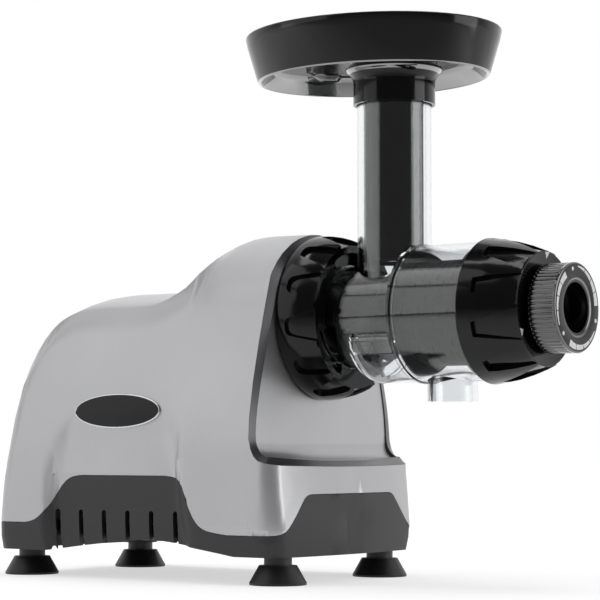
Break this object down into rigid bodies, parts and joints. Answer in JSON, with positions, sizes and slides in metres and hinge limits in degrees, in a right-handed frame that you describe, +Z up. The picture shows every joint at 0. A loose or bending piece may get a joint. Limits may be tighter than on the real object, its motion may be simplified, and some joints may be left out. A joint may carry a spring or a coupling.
{
  "type": "cold press juicer",
  "caption": "Horizontal single-auger cold press juicer: sloped motor housing, clear drum with tall feed chute, oval hopper tray, pusher, locking ring, end cap and pressure dial",
  "frame": {"origin": "on the table plane, under the middle of the overall bounding box", "axes": "+X along the drum, from the motor housing to the pulp outlet; +Y to the side, away from the pictured flank; +Z up"},
  "size_m": [0.3932, 0.1516, 0.342],
  "materials": {
    "upper_housing": "satin silver",
    "base_tub": "fine matt grain",
    "front_panel": "satin silver",
    "housing_rim": "dark satin silver",
    "rubber_feet": "matt",
    "foot_studs": "matt",
    "base_screws": "zinc plated",
    "switch_frame": "gloss",
    "switch_rocker": "satin",
    "cord_bush": "matt",
    "motor_stator": "stacked steel sheet",
    "motor_windings": "enamelled copper wire",
    "motor_front_bell": "cast",
    "motor_rear_bell": "cast",
    "motor_bearings": "ground",
    "motor_cradle": "zinc plated sheet",
    "cradle_grommets": "matt",
    "motor_rotor": "turned",
    "cooling_fan": "moulded",
    "gearbox_case": "die cast",
    "gearbox_plate": "die cast",
    "gearbox_cover": "die cast",
    "gearbox_bearings": "ground",
    "gearbox_screws": "zinc plated",
    "idler_gear": "hobbed",
    "output_gear": "hobbed",
    "run_capacitor": "drawn can",
    "capacitor_clip": "spring steel",
    "switch_board": "lacquered board",
    "drum_socket": "gloss",
    "socket_screws": "zinc plated",
    "locking_ring": "gloss",
    "juicing_drum": "clear moulding, slightly smoky",
    "shaft_seal": "silicone",
    "juicing_screen": "stainless",
    "auger": "dark moulding",
    "auger_shaft": "stainless",
    "drum_gasket": "silicone",
    "end_cap": "gloss",
    "pressure_dial": "gloss",
    "pulp_nozzle": "matt",
    "hopper_tray": "gloss",
    "pusher": "gloss"
  },
  "bodies": {
    "base": {"upper_housing": "upper_housing", "base_tub": "base_tub", "front_panel": "front_panel", "housing_rim": "housing_rim", "rubber_feet": "rubber_feet", "foot_studs": "foot_studs", "base_screws": "base_screws", "switch_frame": "switch_frame", "cord_bush": "cord_bush", "motor_stator": "motor_stator", "motor_windings": "motor_windings", "motor_front_bell": "motor_front_bell", "motor_rear_bell": "motor_rear_bell", "motor_bearings": "motor_bearings", "motor_cradle": "motor_cradle", "cradle_grommets": "cradle_grommets", "gearbox_case": "gearbox_case", "gearbox_plate": "gearbox_plate", "gearbox_cover": "gearbox_cover", "gearbox_bearings": "gearbox_bearings", "gearbox_screws": "gearbox_screws", "run_capacitor": "run_capacitor", "capacitor_clip": "capacitor_clip", "switch_board": "switch_board", "drum_socket": "drum_socket", "socket_screws": "socket_screws", "juicing_drum": "juicing_drum", "shaft_seal": "shaft_seal", "juicing_screen": "juicing_screen", "drum_gasket": "drum_gasket"},
    "rotor": {"motor_rotor": "motor_rotor", "cooling_fan": "cooling_fan"},
    "idler": {"idler_gear": "idler_gear"},
    "auger": {"output_gear": "output_gear", "auger_shaft": "auger_shaft", "auger": "auger"},
    "ring": {"locking_ring": "locking_ring"},
    "cap": {"end_cap": "end_cap"},
    "dial": {"pressure_dial": "pressure_dial"},
    "nozzle": {"pulp_nozzle": "pulp_nozzle"},
    "tray": {"hopper_tray": "hopper_tray"},
    "pusher": {"pusher": "pusher"},
    "rocker": {"switch_rocker": "switch_rocker"}
  },
  "joints": [
    {"name": "motor_spin", "type": "hinge", "parent": "base", "child": "rotor", "pos_m": [-0.1106, 0, 0.082], "axis": [1, 0, 0], "continuous": true},
    {"name": "idler_spin", "type": "hinge", "parent": "base", "child": "idler", "pos_m": [-0.0286, 0.02047, 0.11881], "axis": [1, 0, 0], "continuous": true},
    {"name": "auger_spin", "type": "hinge", "parent": "base", "child": "auger", "pos_m": [0.0184, 0, 0.1607], "axis": [1, 0, 0], "continuous": true},
    {"name": "locking_ring_turn", "type": "hinge", "parent": "base", "child": "ring", "pos_m": [0.0316, 0, 0.1607], "axis": [1, 0, 0], "range_deg": [0, 50]},
    {"name": "end_cap_turn", "type": "hinge", "parent": "base", "child": "cap", "pos_m": [0.1586, 0, 0.1607], "axis": [1, 0, 0], "range_deg": [0, 45]},
    {"name": "dial_turn", "type": "hinge", "parent": "cap", "child": "dial", "pos_m": [0.1872, 0, 0.1607], "axis": [1, 0, 0], "range_deg": [0, 240]},
    {"name": "nozzle_slide", "type": "slide", "parent": "cap", "child": "nozzle", "axis": [-1, 0, 0], "range_m": [0, 0.0055]},
    {"name": "tray_lift", "type": "slide", "parent": "base", "child": "tray", "axis": [0, 0, 1], "range_m": [0, 0.05]},
    {"name": "pusher_slide", "type": "slide", "parent": "tray", "child": "pusher", "axis": [0, 0, 1], "range_m": [0, 0.12]},
    {"name": "rocker_tilt", "type": "hinge", "parent": "base", "child": "rocker", "pos_m": [-0.17273, 0, 0.095], "axis": [0, 1, 0], "range_deg": [-9, 9]}
  ],
  "couplings": [
    {"joint": "idler_spin", "follows": "motor_spin", "ratio": -0.2},
    {"joint": "auger_spin", "follows": "motor_spin", "ratio": 0.048},
    {"joint": "nozzle_slide", "follows": "dial_turn", "m_per_rad": 0.001313}
  ]
}
